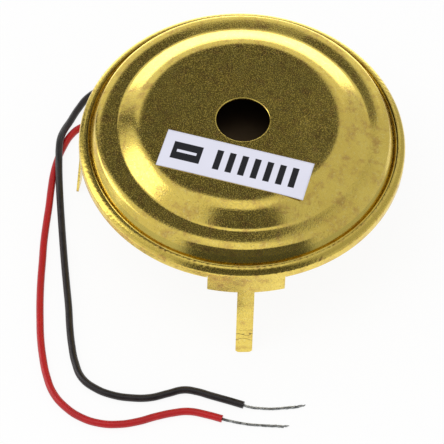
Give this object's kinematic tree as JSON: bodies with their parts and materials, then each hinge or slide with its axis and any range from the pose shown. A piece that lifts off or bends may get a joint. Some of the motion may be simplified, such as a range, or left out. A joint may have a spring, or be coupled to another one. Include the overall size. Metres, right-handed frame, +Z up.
{
  "type": "piezo buzzer",
  "caption": "Round brass can with a sound hole and a stepped crimped cover, standing on legs, with a piezo element inside and a red and a black flying lead.",
  "frame": {"origin": "the can's axis at the plane of the leg tips, where the buzzer stands on a board", "axes": "+Z up along the can's axis, out of the sound hole; -Y towards the front leg"},
  "size_m": [0.046, 0.0539, 0.0202],
  "materials": {
    "can_brass": "bright rolled sheet with a fine speckle",
    "plate_brass": "satin",
    "gasket_rubber": "matte",
    "piezo_ceramic": "matte",
    "ring_plastic": "matte",
    "solder": "satin",
    "grommet_rubber": "matte",
    "red_insulation": "semi-gloss",
    "black_insulation": "semi-gloss",
    "tinned_wire": "twisted tinned strands",
    "label_paper": "smooth"
  },
  "bodies": {
    "root": {"cover": "can_brass", "case": "can_brass", "gasket": "gasket_rubber", "diaphragm": "plate_brass", "ceramic_disc": "piezo_ceramic", "support_ring": "ring_plastic", "solder_joints": "solder", "lead_grommet": "grommet_rubber", "red_lead": "red_insulation", "black_lead": "black_insulation", "red_strands": "tinned_wire", "black_strands": "tinned_wire", "label": "label_paper"}
  },
  "joints": []
}
